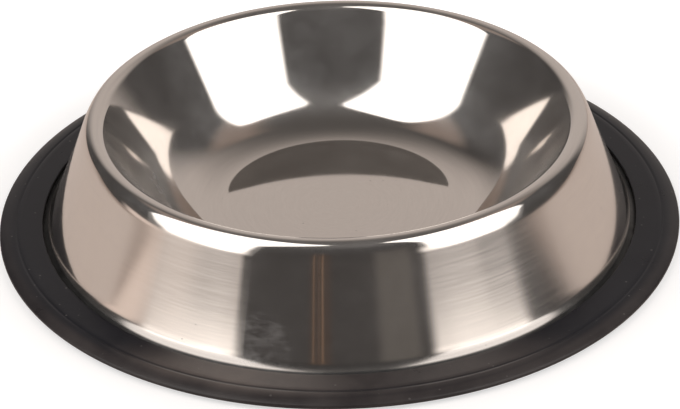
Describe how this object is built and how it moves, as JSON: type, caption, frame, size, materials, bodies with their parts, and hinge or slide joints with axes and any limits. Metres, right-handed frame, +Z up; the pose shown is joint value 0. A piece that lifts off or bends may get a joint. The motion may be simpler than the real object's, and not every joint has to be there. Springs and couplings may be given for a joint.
{
  "type": "cat bowl",
  "caption": "Low round steel cat bowl with a rolled rim and flared skirt, standing in a removable non-slip rubber ring.",
  "frame": {"origin": "on the table, under the middle of the bowl", "axes": "+Z up along the bowl's axis of revolution; X and Y are free, with the pictured side facing -Y"},
  "size_m": [0.16, 0.16, 0.0277],
  "materials": {
    "polished_steel": "mirror-polished stainless sheet with faint polishing lines round the axis",
    "black_rubber": "satin moulded rubber with a little dust"
  },
  "bodies": {
    "ring": {"rubber_ring": "black_rubber"},
    "bowl": {"steel_bowl": "polished_steel"}
  },
  "joints": [
    {"name": "bowl_lift", "type": "slide", "parent": "ring", "child": "bowl", "axis": [0, 0, 1], "range_m": [0, 0.03], "deforming": ["rubber_ring"]}
  ]
}
